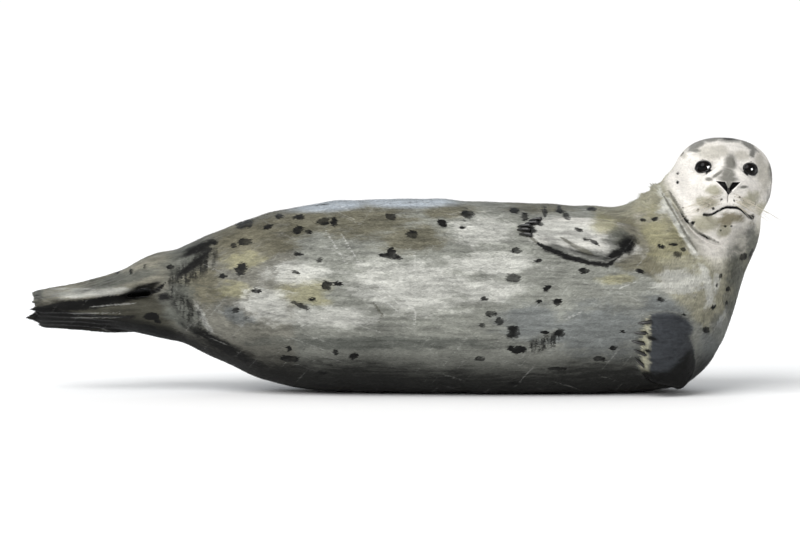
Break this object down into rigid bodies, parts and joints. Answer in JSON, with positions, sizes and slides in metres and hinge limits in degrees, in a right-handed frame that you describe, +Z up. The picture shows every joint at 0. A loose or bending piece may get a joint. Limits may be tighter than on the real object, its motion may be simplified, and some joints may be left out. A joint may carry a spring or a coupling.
{
  "type": "harbor seal",
  "caption": "Life-size harbor seal lying on its left side, head raised and turned to face the belly side, hind flippers held together off the floor.",
  "frame": {"origin": "bottom centre of the whole animal, on the floor", "axes": "+Z up, +X towards the head end, -Y the side that the belly and the face look to"},
  "size_m": [1.571, 0.3736, 0.541],
  "materials": {
    "coat": "short flat hair, pale silver grey with dark spots and ochre patches",
    "flipper": "thin short hair over dark skin",
    "claw": "dark horn, satin",
    "eye": "wet, dark glossy eye"
  },
  "bodies": {
    "root": {"abdomen": "coat", "chest": "coat", "claw_fore_left_1": "claw", "claw_fore_left_2": "claw", "claw_fore_left_3": "claw", "claw_fore_left_4": "claw", "claw_fore_left_5": "claw", "claw_fore_right_1": "claw", "claw_fore_right_2": "claw", "claw_fore_right_3": "claw", "claw_fore_right_4": "claw", "claw_fore_right_5": "claw", "claw_hind_left_1": "claw", "claw_hind_left_2": "claw", "claw_hind_left_3": "claw", "claw_hind_left_4": "claw", "claw_hind_left_5": "claw", "claw_hind_right_1": "claw", "claw_hind_right_2": "claw", "claw_hind_right_3": "claw", "claw_hind_right_4": "claw", "claw_hind_right_5": "claw", "eye_left": "eye", "eye_right": "eye", "flipper_fore_left": "flipper", "flipper_fore_right": "flipper", "flipper_hind_left": "flipper", "flipper_hind_right": "flipper", "head": "coat", "lower_jaw": "coat", "muzzle": "coat", "neck": "coat", "rump": "coat", "tail": "coat"}
  },
  "joints": []
}
